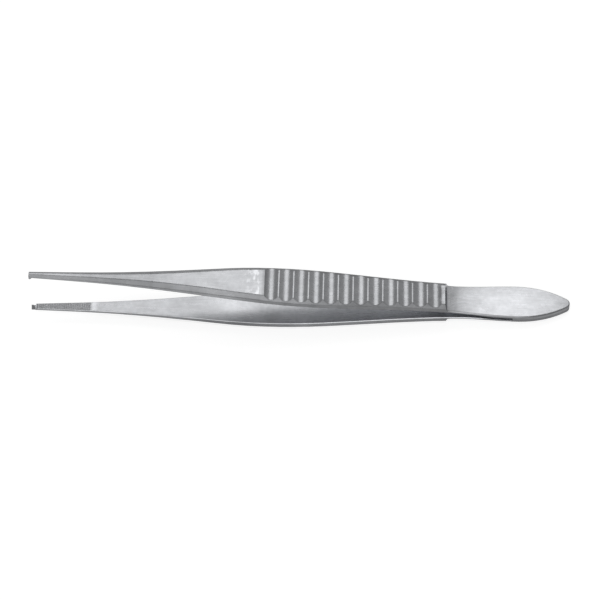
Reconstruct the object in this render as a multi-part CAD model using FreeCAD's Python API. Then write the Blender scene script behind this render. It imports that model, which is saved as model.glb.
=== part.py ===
import FreeCAD, Part
import math
import os

from FreeCAD import Placement, Rotation, Vector

# Thumb forceps with two teeth over one, as they lie on a table on the lower arm.
#
# Two steel arms, mirror images but for their teeth, lie face to face at the heel and are welded there.
# In front of the weld each arm springs away from the other along a thin neck, thickens into a grip with
# cross flutes, and tapers to a fine blade with a serrated jaw inside its end.
#
# An arm is drawn by the distance s from the heel's nose and the height z over the plane where the arms meet.
# Frame: X along the forceps with the tips at -X, Y across the arms, Z up from the table.

# Lengths along the arm
overall_length = 150.0
weld_length = 15.8
neck_bend_start = 20.1
neck_bend_run = 10.3
grip_front = 84.96
blade_bend_run = 12.5
jaw_length = 16.4

# Headings of the inner face along the grip and along the blade
grip_splay = math.radians(3.65)
blade_splay = math.radians(1.83)

# Thickness of an arm, and how fast the blade thins at its shoulder and at its end
heel_thickness = 1.13
neck_relief = 0.43
neck_thickness = 0.7
grip_thickness = 2.15
shoulder_thickness = 1.98
shoulder_taper = math.radians(1.2)
tip_thickness = 0.955
tip_taper = math.radians(0.85)

# Outline from above: rounded nose, then widths and where they are taken
nose_radius = 1.95
heel_width = 11.3
heel_widest_at = 14.5
neck_width = 9.7
neck_narrowest_at = 30.0
waist_width = 9.75
waist_at = 42.0
swell_width = 11.25
swell_at = 58.0
grip_width = 12.5
grip_widest_at = 75.0

# Widths of the blade, at places given as shares of its length from the grip to the tip
root_width = 10.9
root_share = 0.10
shoulder_width = 8.4
shoulder_share = 0.28
blade_width = 5.7
blade_share = 0.48
jaw_root_width = 3.6
jaw_root_share = 0.69
tip_width = 1.85

# Bevels of the outer face: the square edge under them, and their slope
grip_edge = 1.36
shoulder_edge = 1.12
blade_edge = 0.92
tip_edge = 0.56
grip_bevel_slope = math.radians(30.8)
blade_bevel_slope = math.radians(27.0)

# Cross flutes of the grip
flute_count = 12
flute_pitch = 4.122
flute_land = 0.35
flute_depth = 0.55
rear_land = 1.0

# Step from the thin neck up to the grip: a short hollow, and the steep wall in front of it
step_run = 0.7
step_foot_thickness = 0.9
hollow_run = 3.0
hollow_turn = math.radians(15.0)

# Cross grooves of the jaw
serration_pitch = 0.5
serration_land = 0.08
serration_depth = 0.14

# Teeth: two on the upper arm, flush with its sides, one on the lower arm, and the hollow behind them
tooth_length = 0.9
tooth_crest = 0.4
single_tooth_height = 0.55
double_teeth_height = 0.6
double_teeth_spacing = 1.4
tooth_clearance = 0.05
tooth_hollow_radius = 0.6
tooth_hollow_depth = 0.2

# Worked edges
inner_edge_chamfer = 0.18
rim_radius = 0.3

# Reach of a cutting body past the metal that it cuts, and the sections that shape a long one
margin = 1.0
section_count = 25

flute_chord = flute_pitch - flute_land
flute_radius = (flute_chord ** 2 / 4 + flute_depth ** 2) / (2 * flute_depth)
tooth_hollow_reach = math.sqrt(tooth_hollow_radius ** 2 - (tooth_hollow_radius - tooth_hollow_depth) ** 2)
grip_rear = grip_front - flute_count * flute_pitch + flute_land - rear_land
blade_length = overall_length - grip_front
root_at = grip_front + root_share * blade_length
shoulder_at = grip_front + shoulder_share * blade_length
blade_middle_at = grip_front + blade_share * blade_length
jaw_root_at = grip_front + jaw_root_share * blade_length
half_length = overall_length / 2
widest = max(heel_width, grip_width)


def place(s, y, z):
    """A point of the upper arm, in the forceps' own axes."""
    return Vector(half_length - s, y, z)


def along(s, z):
    return place(s, 0, z)


def line(start, end):
    return Part.LineSegment(along(*start), along(*end)).toShape()


class Stretch:
    """A straight run or an arc of the inner line, from a point and a heading to another heading at s = last."""

    def __init__(self, start, heading, last, new_heading):
        self.start = start
        self.heading = heading
        self.last = last
        self.new_heading = new_heading

    def heading_at(self, s):
        share = (s - self.start[0]) / (self.last - self.start[0])
        return math.asin(math.sin(self.heading) + share * (math.sin(self.new_heading) - math.sin(self.heading)))

    def point(self, s, offset=0.0):
        """The point at s, or one that lies outwards of it."""
        heading = self.heading_at(s)
        height = self.start[1] + (s - self.start[0]) * math.tan((self.heading + heading) / 2)
        return (s - offset * math.sin(heading), height + offset * math.cos(heading))

    def edge(self, first, last):
        """The part of the stretch between two distances from the nose."""
        if self.heading == self.new_heading:
            return line(self.point(first), self.point(last))
        return Part.Arc(*[along(*self.point(s)) for s in (first, (first + last) / 2, last)]).toShape()


def inner_stretches():
    """The neck, its bend, the straight grip, the bend in front of it, and the straight blade."""
    ends = [
        (neck_bend_start, 0.0),
        (neck_bend_start + neck_bend_run, grip_splay),
        (grip_front, grip_splay),
        (grip_front + blade_bend_run, blade_splay),
        (overall_length, blade_splay),
    ]
    stretches = []
    start = (weld_length + neck_relief, neck_relief)
    heading = 0.0
    for last, new_heading in ends:
        stretches.append(Stretch(start, heading, last, new_heading))
        start = stretches[-1].point(last)
        heading = new_heading
    return stretches


inner_line = inner_stretches()


def stretch_at(s):
    for stretch in inner_line:
        if s <= stretch.last:
            return stretch
    return inner_line[-1]


def inner_height(s):
    """Height of the arm's inner face over the plane where the arms meet."""
    return stretch_at(s).point(s)[1]


def outer_point(s, thickness):
    """The point of the outer line over the inner line at s, and the heading there."""
    stretch = stretch_at(s)
    return stretch.point(s, thickness), stretch.heading_at(s)


def blend(start, heading, end, end_heading):
    """A smooth curve that leaves one point and reaches the other at the given headings."""
    third = (end[0] - start[0]) / 3
    leaving = (start[0] + third, start[1] + third * math.tan(heading))
    arriving = (end[0] - third, end[1] - third * math.tan(end_heading))
    curve = Part.BezierCurve()
    curve.setPoles([along(*point) for point in (start, leaving, arriving, end)])
    return curve.toShape()


def slot_root():
    """The rounded end of the thin slot between the arms, where the weld begins."""
    turn = math.sqrt(0.5) * neck_relief
    start = (weld_length, 0)
    middle = (weld_length + neck_relief - turn, turn)
    end = (weld_length + neck_relief, neck_relief)
    return Part.Arc(along(*start), along(*middle), along(*end)).toShape()


def side_face(tooth_height):
    """The arm seen from the side, with a block for its teeth at the tip."""
    tooth_back = overall_length - tooth_length
    tip_height = inner_height(overall_length)
    crest_back = (overall_length - tooth_crest, tip_height - tooth_height)
    tooth_front = (overall_length, tip_height - tooth_height)
    tip_top = (overall_length, tip_height + tip_thickness)
    shoulder, shoulder_heading = outer_point(shoulder_at, shoulder_thickness)
    front, front_heading = outer_point(grip_front, grip_thickness)
    rear = outer_point(grip_rear, grip_thickness)[0]
    foot, foot_heading = outer_point(grip_rear - step_run, step_foot_thickness)
    neck, neck_heading = outer_point(grip_rear - step_run - hollow_run, neck_thickness)
    heel = (weld_length, heel_thickness)
    inner = [stretch.edge(stretch.start[0], min(stretch.last, tooth_back)) for stretch in inner_line]
    edges = [line((0, 0), (weld_length, 0)), slot_root()] + inner + [
        line(inner_line[-1].point(tooth_back), crest_back),
        line(crest_back, tooth_front),
        line(tooth_front, tip_top),
        blend(shoulder, shoulder_heading - shoulder_taper, tip_top, blade_splay - tip_taper),
        blend(front, front_heading, shoulder, shoulder_heading - shoulder_taper),
        line(front, rear),
        line(rear, foot),
        blend(neck, neck_heading, foot, foot_heading + hollow_turn),
        blend(heel, 0.0, neck, neck_heading),
        line(heel, (0, heel_thickness)),
        line((0, heel_thickness), (0, 0)),
    ]
    return Part.Face(Part.Wire(Part.__sortEdges__(edges)))


def flank_curve():
    """Half the outline from the heel's widest point to the tip, with s as its parameter."""
    widths = [
        (heel_widest_at, heel_width),
        (neck_narrowest_at, neck_width),
        (waist_at, waist_width),
        (swell_at, swell_width),
        (grip_widest_at, grip_width),
        (root_at, root_width),
        (shoulder_at, shoulder_width),
        (blade_middle_at, blade_width),
        (jaw_root_at, jaw_root_width),
        (overall_length, tip_width),
    ]
    curve = Part.BSplineCurve()
    taper = (tip_width - jaw_root_width) / 2 / (overall_length - jaw_root_at)
    curve.interpolate(Points=[Vector(s, width / 2, 0) for s, width in widths],
                      Parameters=[s for s, width in widths], Scale=False,
                      InitialTangent=Vector(1, 0, 0), FinalTangent=Vector(1, taper, 0))
    return curve


flank = flank_curve()


def half_width(s):
    return flank.value(min(max(s, heel_widest_at), overall_length)).y


def heel_arcs():
    """The arc from the nose to the heel's widest point, and the point where the nose circle runs into it."""
    half = half_width(heel_widest_at)
    run = heel_widest_at - nose_radius
    radius = (run ** 2 + half ** 2 - nose_radius ** 2) / (2 * (half - nose_radius))
    centre = (heel_widest_at, half - radius)
    turn = math.atan2(radius - half, run)
    join = (nose_radius - nose_radius * math.cos(turn), nose_radius * math.sin(turn))
    middle = (turn + math.pi / 2) / 2
    halfway = (centre[0] - radius * math.cos(middle), centre[1] + radius * math.sin(middle))
    return join, halfway, (heel_widest_at, half)


def outline_face():
    """The arm seen from above."""
    join, halfway, widest_point = heel_arcs()
    edges = [Part.Arc(place(join[0], -join[1], 0), place(0, 0, 0), place(*join, 0)).toShape()]
    for side in (1, -1):
        heel = [place(s, side * y, 0) for s, y in (join, halfway, widest_point)]
        edges.append(Part.Arc(*heel).toShape())
        half = flank.toShape().transformed(FreeCAD.Matrix(-1, 0, 0, half_length, 0, side))
        edges.append(half)
    tip = [place(overall_length, side * half_width(overall_length), 0) for side in (1, -1)]
    edges.append(Part.LineSegment(*tip).toShape())
    return Part.Face(Part.Wire(Part.__sortEdges__(edges)))


def between(s, rows):
    """The value at s, on straight lines from one row of a place and a value to the next."""
    if s <= rows[0][0]:
        return rows[0][1]
    for (place_before, before), (place_after, after) in zip(rows, rows[1:]):
        if s <= place_after:
            return before + (after - before) * (s - place_before) / (place_after - place_before)
    return rows[-1][1]


def slope_at(s):
    """Slope of the bevels, which flattens from the grip to the middle of the blade."""
    return between(s, [(root_at, grip_bevel_slope), (blade_middle_at, blade_bevel_slope)])


def edge_at(s):
    """Height of the square edge under the bevels, which shrinks from the grip to the tip."""
    rows = [(root_at, grip_edge), (shoulder_at, shoulder_edge), (blade_middle_at, blade_edge)]
    return between(s, rows + [(overall_length, tip_edge)])


def stations(first, last, count):
    """Evenly spaced distances from the nose, for the sections of a long body."""
    return [first + (last - first) * number / (count - 1) for number in range(count)]


def loft(sections):
    """A smooth solid through closed sections, each given by its corners."""
    wires = [Part.makePolygon(corners + corners[:1]) for corners in sections]
    return Part.makeLoft(wires, True, False)


def chamfer_at(s):
    """Width of the chamfer along the inner edges, which runs out to nothing at the weld."""
    return between(s, [(weld_length, -neck_relief), (neck_bend_start + neck_bend_run / 2, inner_edge_chamfer)])


def long_edges():
    """A long body whose roof is the bevels and whose lower corners are the chamfers of the inner edges.

    The arm keeps what lies within it."""
    sections = []
    for s in stations(-margin, overall_length + margin, section_count):
        half = half_width(s)
        low = inner_height(s)
        chamfer = chamfer_at(s)
        rise = math.tan(slope_at(s))
        out = (edge_at(s) - chamfer) / (1 + rise)
        right = [(half - chamfer, low - margin), (half - chamfer, low), (half + out, low + chamfer + out)]
        left = [(-y, z) for y, z in reversed(right)]
        ridge = (0, low + edge_at(s) + half * rise)
        sections.append([place(s, *point) for point in right + [ridge] + left])
    return loft(sections)


def round_heel_rim(arm):
    """Rounds the outer rim of the heel, from the nose to the end of the weld."""
    rim = []
    for edge in arm.Edges:
        box = edge.BoundBox
        on_top = box.ZMin > heel_thickness - 0.001 and box.ZMax < heel_thickness + 0.001
        if on_top and box.XMin > half_length - weld_length - 0.001 and box.XLength > 0.001:
            rim.append(edge)
    return arm.makeChamfer(rim_radius, rim)


def blank(tooth_height):
    """An arm with its full outline, side curve and bevels, before the flutes and the jaw."""
    side = side_face(tooth_height).extrude(Vector(0, widest + 2 * margin, 0))
    side.translate(Vector(0, -widest / 2 - margin, 0))
    height = inner_height(overall_length) + grip_thickness + margin
    outline = outline_face().extrude(Vector(0, 0, height))
    return side.common(outline).common(long_edges())


def flutes():
    """Cylinders across the grip, one for each flute, with their axes along Y."""
    cutters = []
    for number in range(flute_count):
        s = grip_front - flute_chord / 2 - number * flute_pitch
        centre = outer_point(s, grip_thickness - flute_depth + flute_radius)[0]
        start = place(centre[0], -widest, centre[1])
        cutters.append(Part.makeCylinder(flute_radius, 2 * widest, start, Vector(0, 1, 0)))
    return cutters


def bar(corners):
    """A bar right across the arm, from its corners as seen from the side."""
    points = [place(s, -widest, z) for s, z in corners]
    return Part.Face(Part.makePolygon(points + points[:1])).extrude(Vector(0, 2 * widest, 0))


def serrations():
    """Three-cornered bars, one for each groove across the inner face of the jaw."""
    first = overall_length - jaw_length
    last = overall_length - tooth_length - 2 * tooth_hollow_reach
    half = serration_pitch - serration_land
    cutters = []
    for number in range(int((last - first) / serration_pitch)):
        s = first + (number + 0.5) * serration_pitch
        cutters.append(bar([
            (s - half, inner_height(s - half) - serration_depth),
            (s + half, inner_height(s + half) - serration_depth),
            (s, inner_height(s) + serration_depth),
        ]))
    return cutters


def tooth_hollow():
    """A cylinder across the jaw that hollows the inner face just behind the teeth."""
    s = overall_length - tooth_length - 0.9 * tooth_hollow_reach
    start = place(s, -widest, inner_height(s) + tooth_hollow_depth - tooth_hollow_radius)
    return Part.makeCylinder(tooth_hollow_radius, 2 * widest, start, Vector(0, 1, 0))


def tooth_gap(middle, beside):
    """The space in front of the teeth, up to a line that zigzags across the tip.

    The line is at one height in the middle and at another to each side of it, both over the inner face."""
    far = tip_width
    spread = double_teeth_spacing / 2
    zigzag = [(-far, beside), (-spread, beside), (0, middle), (spread, beside), (far, beside)]
    low = -grip_thickness
    root = inner_height(overall_length) + tooth_clearance / 2
    back = overall_length - tooth_length - tooth_hollow_reach / 2
    points = [place(back, y, root + z) for y, z in zigzag + [(far, low), (-far, low)]]
    run = overall_length + margin - back
    return Part.Face(Part.makePolygon(points + points[:1])).extrude(Vector(-run, 0, 0))


def arm(tooth_height, middle, beside):
    """A whole arm, whose teeth follow the zigzag line."""
    shaped = round_heel_rim(blank(tooth_height))
    shaped = shaped.cut(flutes() + serrations() + [tooth_hollow(), tooth_gap(middle, beside)])
    return shaped.Solids[0]


def underside(shape):
    """The corners, as seen from the side, that a table can touch from below, in order of X."""
    lowest = {}
    for corner in shape.Vertexes:
        x = round(corner.X, 3)
        lowest[x] = min(corner.Z, lowest.get(x, corner.Z))
    touching = []
    for x, z in sorted(lowest.items()):
        point = Vector(x, 0, z)
        while len(touching) > 1 and (touching[-1] - touching[-2]).cross(point - touching[-1]).y >= 0:
            touching.pop()
        touching.append(point)
    return touching


def resting_turn(arms):
    """The turn about Y that lays flat the two neighbouring corners that the centre of mass stands between."""
    volume = sum(shape.Volume for shape in arms)
    centre = sum((shape.CenterOfMass * shape.Volume for shape in arms), Vector()) / volume
    corners = underside(arms[1])
    for left, right in zip(corners, corners[1:]):
        if (centre - left).dot(right - left) >= 0 and (centre - right).dot(left - right) >= 0:
            slope = math.atan2(right.z - left.z, right.x - left.x)
            return Placement(Vector(), Rotation(Vector(0, 1, 0), math.degrees(slope)))
    raise ValueError("the forceps would roll off the underside of the lower arm")


def lay_down(arms):
    """The arms as they lie on the table, with the origin under the middle of the whole."""
    turn = resting_turn(arms)
    laid = [shape.transformed(turn.toMatrix()) for shape in arms]
    box = Part.makeCompound(laid).optimalBoundingBox(False, False)
    return [shape.translated(Vector(-box.Center.x, -box.Center.y, -box.ZMin)) for shape in laid]


def main():
    two_teeth = arm(double_teeth_height, single_tooth_height, -double_teeth_height)
    one_tooth = arm(single_tooth_height, -single_tooth_height, double_teeth_height)
    upper_arm, lower_arm = lay_down([two_teeth, one_tooth.mirror(Vector(), Vector(0, 0, 1))])
    os.makedirs("parts", exist_ok=True)
    upper_arm.exportStep("parts/upper_arm.step")
    lower_arm.exportStep("parts/lower_arm.step")


main()
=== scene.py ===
import math

import bmesh
import bpy
from mathutils import Matrix, Vector

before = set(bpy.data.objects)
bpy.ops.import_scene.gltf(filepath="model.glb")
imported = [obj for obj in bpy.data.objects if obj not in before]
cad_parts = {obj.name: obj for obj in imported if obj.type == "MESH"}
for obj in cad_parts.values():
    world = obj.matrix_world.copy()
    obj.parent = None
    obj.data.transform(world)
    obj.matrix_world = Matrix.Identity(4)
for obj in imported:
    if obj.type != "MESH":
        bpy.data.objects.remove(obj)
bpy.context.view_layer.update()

bl_info = {
    "name": "Thumb Forceps",
    "version": (1, 0, 0),
    "blender": (4, 5, 0),
    "location": "3D View > Sidebar > Forceps",
    "description": "Satin steel and a plain studio for a pair of toothed thumb forceps",
    "category": "Object",
}


class SteelFinish(bpy.types.PropertyGroup):
    """How the steel of the arms looks."""

    colour: bpy.props.FloatVectorProperty(
        name="Steel colour", description="Colour of the bare steel",
        subtype="COLOR", size=3, min=0, max=1, default=(0.413, 0.419, 0.433))
    roughness: bpy.props.FloatProperty(
        name="Roughness", description="How soft the satin finish blurs a reflection",
        subtype="FACTOR", min=0, max=1, default=0.29)
    roughness_spread: bpy.props.FloatProperty(
        name="Roughness spread", description="How much the fine lines change the roughness, up and down",
        subtype="FACTOR", min=0, max=0.2, default=0.04)
    grain_depth: bpy.props.FloatProperty(
        name="Grain depth", description="Depth of the fine lines that the polishing belt left",
        unit="LENGTH", min=0, max=0.0001, precision=7, default=0.000003)
    edge_radius: bpy.props.FloatProperty(
        name="Edge radius", description="How far the polish softens the edges",
        unit="LENGTH", min=0, max=0.001, precision=6, default=0.00016)
    # The edge line is painted shade: a dark line painted along the edges of the bevels.
    painted_edge_line_width: bpy.props.FloatProperty(
        name="Edge line", description="Reach of the dark line along the edges of the bevels",
        unit="LENGTH", min=0, max=0.001, precision=6, default=0.00045)


class Studio(bpy.types.PropertyGroup):
    """The floor, the lamps and the camera."""

    floor_colour: bpy.props.FloatVectorProperty(
        name="Floor colour", description="Colour of the plain floor",
        subtype="COLOR", size=3, min=0, max=1, default=(0.5, 0.5, 0.5))
    floor_glow: bpy.props.FloatProperty(
        name="Floor glow", description="What the floor adds of its own to look white",
        min=0, max=1, default=0.73)
    room_level: bpy.props.FloatProperty(
        name="Room level", description="Brightness of the room round the floor",
        min=0, max=2, default=0.42)
    back_level: bpy.props.FloatProperty(
        name="Back softbox", description="Brightness of the softbox over and behind the forceps",
        min=0, max=10, default=1.5)
    front_level: bpy.props.FloatProperty(
        name="Front softbox", description="Brightness of the softbox over and before the forceps",
        min=0, max=10, default=1.05)
    azimuth: bpy.props.FloatProperty(
        name="Camera azimuth", description="Turn of the camera round the forceps",
        subtype="ANGLE", default=math.radians(4.844))
    elevation: bpy.props.FloatProperty(
        name="Camera elevation", description="Height of the camera over the floor, as an angle",
        subtype="ANGLE", default=math.radians(49.827))
    roll: bpy.props.FloatProperty(
        name="Camera roll", description="Turn of the camera about its own axis",
        subtype="ANGLE", default=math.radians(-4.428))
    distance: bpy.props.FloatProperty(
        name="Camera distance", description="From the camera to the forceps",
        unit="LENGTH", min=0.1, default=0.75)
    lens: bpy.props.FloatProperty(
        name="Camera lens", description="Focal length in millimetres", min=10, max=400, default=160.9)
    aim_rise: bpy.props.FloatProperty(
        name="Aim rise", description="How far up the picture the camera aims past the middle of the forceps",
        unit="LENGTH", precision=5, default=0.003215)


# How far a face turns to the side, from 0 for up or down to 1 for a side, and its share of each kind of face
# in the painted light and shade.
# The small bevel round the inside of an arm, turned half way, gets a brighter painted highlight than the wide
# one outside.
FACE_KINDS = {
    "flats": [(0, 1), (0.3, 1), (0.42, 0), (1, 0)],
    "bevels": [(0, 0), (0.3, 0), (0.42, 1), (0.6, 1), (0.68, 1.9), (0.76, 1.9), (0.84, 1), (0.92, 0), (1, 0)],
    "sides": [(0, 0), (0.84, 0), (0.92, 1), (1, 1)],
}

# The tip and the heel's end, 1 within them, at places along the arm in metres from its middle.
ARM_ENDS = [(-0.0752, 1), (-0.0748, 1), (-0.0742, 0), (0.058, 0), (0.062, 1), (0.076, 1)]

# The painted light and shade of the steel, as a share of its colour, at places along the arm in metres from
# its middle.
# The tip is at -0.075, the front of the grip at -0.01, its rear step at 0.042 and the heel's end at 0.075.
# A dim border of painted shade has its depth across the arm, from the near side to the far side, and then its
# share along it.
# What faces down has its own painted light and shade beneath; the painted dark edge lines and painted glints
# have their strength along it.
ARM_SHADES = {
    "upper_arm": {
        "flats": [
            (-0.075, 1.3), (-0.066, 1.12), (-0.058, 0.89), (-0.041, 0.83), (-0.033, 0.93), (-0.0246, 0.95),
            (-0.0177, 0.92), (-0.012, 0.95), (-0.01, 0.94), (-0.0098, 0.7), (-0.0086, 0.7), (-0.0082, 0.94),
            (0.025, 0.92), (0.037, 0.87), (0.0392, 0.84), (0.0402, 0.8), (0.041, 1.35), (0.0419, 1.4),
            (0.0427, 0.7), (0.0435, 0.7), (0.0441, 0.78), (0.046, 1.0), (0.0502, 1.2), (0.0557, 1.34),
            (0.0612, 1.26), (0.0668, 1.15), (0.0718, 1.0), (0.076, 0.9)],
        "bevels": [
            (-0.075, 0.98), (-0.064, 0.9), (-0.05, 0.82), (-0.02, 0.82), (-0.012, 0.69), (0.0003, 0.69),
            (0.0169, 0.48), (0.0335, 0.61), (0.04, 0.6), (0.05, 0.45), (0.056, 0.36), (0.076, 0.36)],
        "sides": [
            (-0.075, 0.72), (-0.025, 0.72), (-0.018, 0.8), (-0.01, 0.52), (0.04, 0.45), (0.055, 0.52),
            (0.076, 0.52)],
        "beneath": [(-0.075, 1.15), (0.04, 1.15), (0.045, 1.8), (0.076, 1.6)],
        "edge lines": [
            (-0.075, 0.15), (-0.062, 0.25), (-0.05, 0.5), (-0.0103, 0.5), (-0.01, 0.22), (0.042, 0.22),
            (0.0425, 0.4), (0.052, 0.1), (0.076, 0.1)],
        "dim border": (
            [(-0.0063, 0), (0.0012, 0), (0.0055, 0.2), (0.0063, 0.2)],
            [(-0.075, 0), (0.0427, 0), (0.0455, 0.9), (0.052, 0.95), (0.06, 1), (0.065, 0.2),
             (0.068, 0), (0.076, 0)]),
        "glints": [
            (-0.075, 0), (-0.0155, 0), (-0.0125, 1), (-0.0103, 1), (-0.0101, 0), (0.0385, 0), (0.039, 1),
            (0.0402, 1), (0.0405, 0), (0.076, 0)],
    },
    "lower_arm": {
        "flats": [
            (-0.075, 1.07), (-0.0582, 1.1), (-0.058, 1.8), (-0.0572, 1.8), (-0.0565, 1.32), (-0.047, 1.25),
            (-0.04, 1.2), (-0.03, 1.05), (-0.0246, 1.15), (-0.0177, 1.38), (-0.0108, 1.12), (-0.006, 1.22),
            (0.0, 1.3), (0.0058, 1.29), (0.0169, 1.38), (0.028, 1.72), (0.04, 1.85), (0.05, 2.2),
            (0.076, 2.2)],
        "bevels": [
            (-0.075, 0.75), (-0.05, 0.7), (-0.036, 0.55), (-0.027, 0.78), (-0.012, 0.72), (0.0114, 0.7),
            (0.03, 0.8), (0.05, 0.75), (0.076, 0.4)],
        "sides": [(-0.075, 0.6), (0.0, 0.56), (0.05, 0.45), (0.076, 0.4)],
        "beneath": [
            (-0.075, 1), (-0.0582, 1), (-0.058, 0.6), (-0.0565, 0.85), (-0.03, 0.95), (0.0, 0.75),
            (0.028, 0.6), (0.04, 0.52), (0.05, 0.48), (0.076, 0.45)],
        "edge lines": [(-0.075, 0.05), (0.076, 0.05)],
        "dim border": (
            [(-0.0063, 0.28), (-0.003, 0.28), (-0.0005, 0), (0.0063, 0)],
            [(-0.075, 0), (-0.036, 0), (-0.03, 0.3), (-0.027, 1), (-0.017, 1), (-0.0136, 0.7),
             (-0.006, 0.4), (0.0, 0), (0.076, 0)]),
    },
}


class Recipe:
    """The nodes of one material, and short ways to add to them."""

    def __init__(self, name):
        self.material = bpy.data.materials.new(name)
        self.material.use_nodes = True
        self.tree = self.material.node_tree
        self.shader = self.tree.nodes["Principled BSDF"]

    def add(self, kind, **values):
        """A new node with its values set."""
        node = self.tree.nodes.new(kind)
        for key, value in values.items():
            setattr(node, key, value)
        return node

    def link(self, output, socket):
        """A link from one node to the next."""
        self.tree.links.new(output, socket)

    def split(self, vector):
        """The three parts of a vector."""
        node = self.add("ShaderNodeSeparateXYZ")
        self.link(vector, node.inputs["Vector"])
        return node.outputs["X"], node.outputs["Y"], node.outputs["Z"]

    def work_out(self, operation, first, second=0.0):
        """One sum on two values, each an output of another node or a number."""
        node = self.add("ShaderNodeMath", operation=operation)
        for socket, value in zip(node.inputs, (first, second)):
            if isinstance(value, float):
                socket.default_value = value
            else:
                self.link(value, socket)
        return node.outputs["Value"]

    def product(self, first, *others):
        """The values multiplied by each other."""
        for other in others:
            first = self.work_out("MULTIPLY", first, other)
        return first

    def graph(self, source, stops):
        """A value that follows straight lines between its stops, each a place and the value there."""
        first, last = stops[0][0], stops[-1][0]
        top = max(value for place, value in stops)
        share = self.add("ShaderNodeMapRange")
        share.inputs["From Min"].default_value = first
        share.inputs["From Max"].default_value = last
        self.link(source, share.inputs["Value"])
        ramp = self.add("ShaderNodeValToRGB")
        marks = ramp.color_ramp.elements
        marks[0].color = (stops[0][1] / top,) * 3 + (1,)
        marks[1].color = (stops[-1][1] / top,) * 3 + (1,)
        for place, value in stops[1:-1]:
            marks.new((place - first) / (last - first)).color = (value / top,) * 3 + (1,)
        self.link(share.outputs["Result"], ramp.inputs["Fac"])
        return self.product(ramp.outputs["Color"], float(top))

    def cloud(self, coordinate, scale, stretch, detail):
        """Soft noise, finer along each axis by the stretch."""
        stretched = self.add("ShaderNodeMapping")
        stretched.inputs["Scale"].default_value = stretch
        self.link(coordinate, stretched.inputs["Vector"])
        noise = self.add("ShaderNodeTexNoise")
        noise.inputs["Scale"].default_value = scale
        noise.inputs["Detail"].default_value = detail
        self.link(stretched.outputs["Vector"], noise.inputs["Vector"])
        return noise.outputs["Fac"]

    def soft_edges(self, radius):
        """The direction of the surface with its edges rounded."""
        edges = self.add("ShaderNodeBevel", samples=6)
        edges.inputs["Radius"].default_value = radius
        return edges.outputs["Normal"]


def turn_to_side(steel, along, facing_y, facing_z):
    """How far a face turns to the side, from 0 for up or down to 1 for a side.

    At the tip and the heel's end the rim counts as side all round, also where it faces along the arm."""
    upright = steel.product(facing_z, facing_z)
    outward = steel.work_out("SQRT", steel.work_out("SUBTRACT", 1.0, upright))
    at_ends = steel.product(outward, steel.graph(along, ARM_ENDS))
    return steel.work_out("MAXIMUM", steel.work_out("ABSOLUTE", facing_y), at_ends)


def shade_by_face(steel, along, sideways, shades):
    """Painted light and shade along the arm, each in its own way on the flats, bevels and sides."""
    flats, bevels, sides = (
        steel.product(steel.graph(sideways, turns), steel.graph(along, shades[kind]))
        for kind, turns in FACE_KINDS.items())
    return steel.work_out("ADD", steel.work_out("ADD", flats, bevels), sides)


def shade_edges(steel, along, facing_y, width, depths):
    """The painted dark line, painted shade, along the edges of the bevels where the rounded edge turns from
    the face.
    """
    rounded_y = steel.split(steel.soft_edges(width))[1]
    bend = steel.work_out("ABSOLUTE", steel.work_out("SUBTRACT", facing_y, rounded_y))
    line = steel.product(steel.graph(bend, [(0, 0), (0.03, 0), (0.1, 1), (1, 1)]), steel.graph(along, depths))
    return steel.work_out("SUBTRACT", 1.0, line)


def shade_border(steel, along, across, depths, shares):
    """Painted shade: a dimmer strip along one border of the arm."""
    strip = steel.product(steel.graph(across, depths), steel.graph(along, shares))
    return steel.work_out("SUBTRACT", 1.0, strip)


def shade_beneath(steel, along, facing_z, shades):
    """Painted light and shade on what faces down, against what faces up."""
    change = steel.work_out("SUBTRACT", steel.graph(along, shades), 1.0)
    facing_down = steel.graph(facing_z, [(-1, 1), (-0.5, 1), (0, 0), (1, 0)])
    return steel.work_out("ADD", 1.0, steel.product(change, facing_down))


def shade_glints(steel, place, along, sideways, shares):
    """Painted highlights: bright streaks across the flats."""
    streaks = steel.cloud(place, scale=1.0, stretch=(975, 420, 900), detail=2.5)
    glint = steel.product(
        steel.graph(streaks, [(0, 0), (0.48, 0), (0.62, 0.45), (1, 0.45)]),
        steel.graph(along, shares),
        steel.graph(sideways, [(0, 1), (0.25, 1), (0.35, 0), (1, 0)]))
    return steel.work_out("ADD", 1.0, glint)


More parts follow.
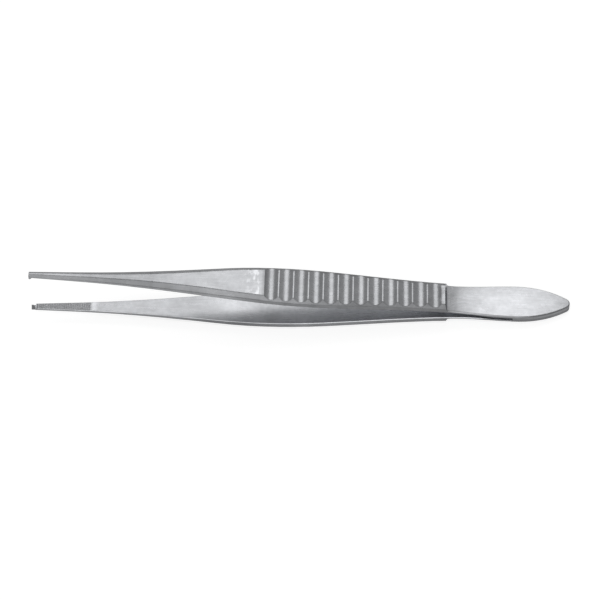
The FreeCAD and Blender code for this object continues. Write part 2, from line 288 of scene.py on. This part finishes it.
def satin_steel(finish, name, shades):
    """Stainless steel off a polishing belt, with soft edges, fine lines along the arm and a faint mottle, and
    painted light and shade in its colour by place along the arm and by how each face turns.
    """
    steel = Recipe(name)
    steel.shader.inputs["Metallic"].default_value = 1.0
    steel.shader.inputs["Specular Tint"].default_value = (0.5, 0.5, 0.5, 1)
    where = steel.add("ShaderNodeTexCoord")
    place = where.outputs["Object"]
    along, across = steel.split(place)[:2]
    facing_x, facing_y, facing_z = steel.split(where.outputs["Normal"])
    sideways = turn_to_side(steel, along, facing_y, facing_z)
    lengthways = steel.work_out("ABSOLUTE", facing_x)
    mottle = steel.cloud(place, scale=900.0, stretch=(1, 1, 1), detail=4.0)
    patches = steel.cloud(place, scale=190.0, stretch=(1, 1.5, 1), detail=3.0)
    # The colour carries painted light and shade by face, painted dark edge lines, a painted dim border,
    # painted light beneath and painted highlights, besides a random mottle and patches.
    shade = steel.product(
        shade_by_face(steel, along, sideways, shades),
        shade_edges(steel, along, facing_y, finish.painted_edge_line_width, shades["edge lines"]),
        shade_border(steel, along, across, *shades["dim border"]),
        shade_beneath(steel, along, facing_z, shades["beneath"]),
        # Painted highlight: faces turned along the arm, such as the walls of the flutes, are made brighter.
        steel.graph(lengthways, [(0, 1), (0.22, 1), (0.4, 1.2), (1, 1.2)]),
        steel.graph(mottle, [(0.3, 0.93), (0.7, 1.05)]),
        steel.graph(patches, [(0.3, 0.91), (0.7, 1.06)]))
    # Painted highlights before the grip and on its rear land.
    if "glints" in shades:
        shade = steel.product(shade, shade_glints(steel, place, along, sideways, shades["glints"]))
    tint = steel.add("ShaderNodeVectorMath", operation="SCALE")
    tint.inputs["Vector"].default_value = finish.colour
    steel.link(shade, tint.inputs["Scale"])
    steel.link(tint.outputs["Vector"], steel.shader.inputs["Base Color"])

    lines = steel.cloud(place, scale=1.0, stretch=(60, 2500, 2500), detail=3.0)
    spread = finish.roughness_spread
    rough = steel.graph(lines, [(0.2, finish.roughness - spread), (0.8, finish.roughness + spread)])
    steel.link(rough, steel.shader.inputs["Roughness"])
    bump = steel.add("ShaderNodeBump")
    bump.inputs["Distance"].default_value = finish.grain_depth
    steel.link(lines, bump.inputs["Height"])
    steel.link(steel.soft_edges(finish.edge_radius), bump.inputs["Normal"])
    steel.link(bump.outputs["Normal"], steel.shader.inputs["Normal"])
    return steel.material


class FORCEPS_OT_finish_arms(bpy.types.Operator):
    """Give both arms their satin steel"""

    bl_idname = "forceps.finish_arms"
    bl_label = "Finish the Arms"

    def execute(self, context):
        finish = context.scene.forceps_steel
        for name, shades in ARM_SHADES.items():
            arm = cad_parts[name]
            arm.data.materials.clear()
            arm.data.materials.append(satin_steel(finish, name.replace("_", " ") + " steel", shades))
        return {"FINISHED"}


def plain_floor(studio):
    """A wide pale floor under the forceps."""
    shape = bmesh.new()
    bmesh.ops.create_grid(shape, x_segments=1, y_segments=1, size=1.5)
    mesh = bpy.data.meshes.new("floor")
    shape.to_mesh(mesh)
    shape.free()
    floor = bpy.data.objects.new("floor", mesh)
    bpy.context.scene.collection.objects.link(floor)
    paint = Recipe("pale floor")
    paint.shader.inputs["Base Color"].default_value = (*studio.floor_colour, 1)
    paint.shader.inputs["Roughness"].default_value = 0.9
    paint.shader.inputs["Specular IOR Level"].default_value = 0.0
    paint.shader.inputs["Emission Color"].default_value = (1, 1, 1, 1)
    rays = paint.add("ShaderNodeLightPath")
    seen = paint.work_out("MAXIMUM", rays.outputs["Is Camera Ray"], rays.outputs["Is Glossy Ray"])
    seen = paint.work_out("MAXIMUM", seen, rays.outputs["Is Transmission Ray"])
    paint.link(paint.product(seen, studio.floor_glow), paint.shader.inputs["Emission Strength"])
    mesh.materials.append(paint.material)


def softbox(name, direction, distance, width, height, level):
    """A soft lamp at a distance from the forceps, turned towards it, as bright as its level."""
    lamp = bpy.data.lights.new(name, "AREA")
    lamp.shape = "RECTANGLE"
    lamp.size = width
    lamp.size_y = height
    lamp.energy = level * math.pi * width * height
    holder = bpy.data.objects.new(name, lamp)
    holder.location = Vector(direction).normalized() * distance
    holder.rotation_mode = "QUATERNION"
    holder.rotation_quaternion = (-holder.location).to_track_quat("-Z", "Y")
    holder.visible_camera = False
    bpy.context.scene.collection.objects.link(holder)


def place_camera(studio):
    """The camera at the angle of a catalogue picture, with a long lens."""
    around, above, roll = studio.azimuth, studio.elevation, studio.roll
    flat_back = Vector((math.sin(around), -math.cos(around), 0))
    back = flat_back * math.cos(above) + Vector((0, 0, math.sin(above)))
    right = Vector((math.cos(around), math.sin(around), 0))
    up = back.cross(right)
    turned_right = right * math.cos(roll) + up * math.sin(roll)
    turned_up = up * math.cos(roll) - right * math.sin(roll)
    turn = Matrix((turned_right, turned_up, back)).transposed()
    data = bpy.data.cameras.new("camera")
    data.lens = studio.lens
    data.sensor_width = 36
    data.clip_start = 0.01
    data.clip_end = 20
    camera = bpy.data.objects.new("camera", data)
    stand = turned_up * studio.aim_rise + back * studio.distance
    camera.matrix_world = Matrix.Translation(stand) @ turn.to_4x4()
    bpy.context.scene.collection.objects.link(camera)
    bpy.context.scene.camera = camera


class FORCEPS_OT_set_stage(bpy.types.Operator):
    """Lay the floor, hang the lamps and place the camera"""

    bl_idname = "forceps.set_stage"
    bl_label = "Set the Stage"

    def execute(self, context):
        studio = context.scene.forceps_studio
        plain_floor(studio)
        softbox("back softbox", direction=(0.08, 0.633, 0.765), distance=0.9,
                width=0.39, height=0.5, level=studio.back_level)
        softbox("front softbox", direction=(-0.05, -0.62, 0.78), distance=0.9,
                width=0.7, height=0.8, level=studio.front_level)
        world = bpy.data.worlds.new("room")
        world.use_nodes = True
        level = world.node_tree.nodes["Background"]
        level.inputs["Color"].default_value = (1, 1, 1, 1)
        level.inputs["Strength"].default_value = studio.room_level
        context.scene.world = world
        context.scene.view_settings.view_transform = "Standard"
        place_camera(studio)
        return {"FINISHED"}


class FORCEPS_PT_workshop(bpy.types.Panel):
    """The pieces of the forceps and their studio"""

    bl_idname = "FORCEPS_PT_workshop"
    bl_label = "Thumb Forceps"
    bl_space_type = "VIEW_3D"
    bl_region_type = "UI"
    bl_category = "Forceps"

    def draw(self, context):
        layout = self.layout
        steel = context.scene.forceps_steel
        for key in ("colour", "roughness", "roughness_spread", "grain_depth", "edge_radius", "painted_edge_line_width"):
            layout.prop(steel, key)
        layout.operator(FORCEPS_OT_finish_arms.bl_idname)
        studio = context.scene.forceps_studio
        for key in ("floor_colour", "floor_glow", "room_level", "back_level", "front_level",
                    "azimuth", "elevation", "roll", "distance", "lens", "aim_rise"):
            layout.prop(studio, key)
        layout.operator(FORCEPS_OT_set_stage.bl_idname)


CLASSES = (SteelFinish, Studio, FORCEPS_OT_finish_arms, FORCEPS_OT_set_stage, FORCEPS_PT_workshop)


def register():
    for each in CLASSES:
        bpy.utils.register_class(each)
    bpy.types.Scene.forceps_steel = bpy.props.PointerProperty(type=SteelFinish)
    bpy.types.Scene.forceps_studio = bpy.props.PointerProperty(type=Studio)


def unregister():
    del bpy.types.Scene.forceps_studio
    del bpy.types.Scene.forceps_steel
    for each in reversed(CLASSES):
        bpy.utils.unregister_class(each)


def main():
    register()
    bpy.ops.forceps.set_stage()
    bpy.ops.forceps.finish_arms()


if __name__ == "__main__":
    main()
